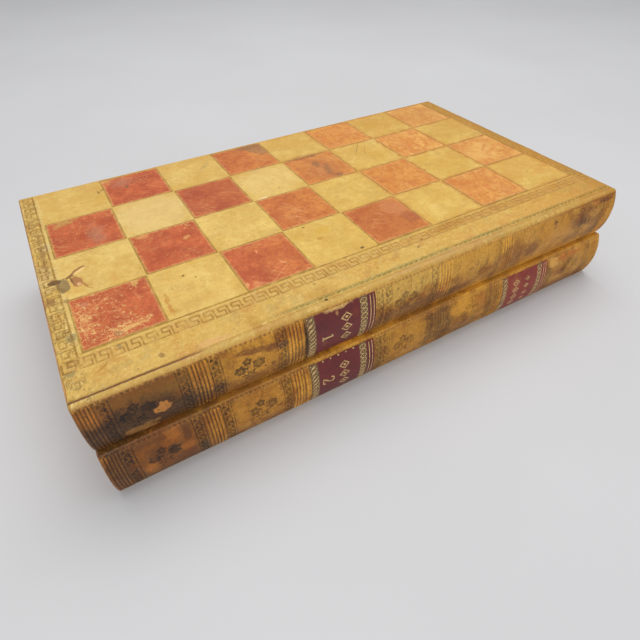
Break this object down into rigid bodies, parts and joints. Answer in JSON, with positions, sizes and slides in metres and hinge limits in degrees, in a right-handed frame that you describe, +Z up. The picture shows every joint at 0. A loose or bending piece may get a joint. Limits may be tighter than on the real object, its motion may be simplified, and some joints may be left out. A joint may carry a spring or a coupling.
{
  "type": "folding chess board",
  "caption": "Hinged games case bound like books, with rounded tooled spines, a chess board across its outer faces and a backgammon table inside its trays.",
  "frame": {"origin": "under the middle of the closed case, on the surface that it lies on", "axes": "+X along the hinge, from the books' tail end to their head end; +Y from the spines to the hinge; +Z up, out of the upper chess face"},
  "size_m": [0.409, 0.2392, 0.079],
  "materials": {
    "board_wood": "matt",
    "buff_calf": "satin",
    "red_calf": "satin",
    "spine_calf": "satin",
    "edge_calf": "satin",
    "field_calf": "satin",
    "green_calf": "satin",
    "label_calf": "satin",
    "brass": "worn",
    "pin_steel": "worn"
  },
  "bodies": {
    "lower_volume": {"lower_panel": "board_wood", "lower_spine_rail": "board_wood", "lower_hinge_rail": "board_wood", "lower_tail_rail": "board_wood", "lower_head_rail": "board_wood", "lower_face_leather": "buff_calf", "lower_spine_leather": "spine_calf", "lower_edge_leather": "edge_calf", "lower_dark_squares": "red_calf", "lower_field_lining": "field_calf", "lower_wall_lining": "edge_calf", "lower_red_points": "red_calf", "lower_green_points": "green_calf", "lower_number_label": "label_calf", "lower_hinge_screws": "brass", "lower_title_label": "label_calf", "tail_hinge_lower_leaf": "brass", "head_hinge_lower_leaf": "brass", "tail_hinge_pin": "pin_steel", "head_hinge_pin": "pin_steel"},
    "upper_volume": {"upper_panel": "board_wood", "upper_spine_rail": "board_wood", "upper_hinge_rail": "board_wood", "upper_tail_rail": "board_wood", "upper_head_rail": "board_wood", "upper_face_leather": "buff_calf", "upper_spine_leather": "spine_calf", "upper_edge_leather": "edge_calf", "upper_dark_squares": "red_calf", "upper_field_lining": "field_calf", "upper_wall_lining": "edge_calf", "upper_red_points": "red_calf", "upper_green_points": "green_calf", "upper_number_label": "label_calf", "upper_hinge_screws": "brass", "tail_hinge_upper_leaf": "brass", "head_hinge_upper_leaf": "brass"}
  },
  "joints": [
    {"name": "case_hinge", "type": "hinge", "parent": "lower_volume", "child": "upper_volume", "pos_m": [0, 0.11725, 0.0395], "axis": [-1, 0, 0], "range_deg": [0, 180]}
  ]
}
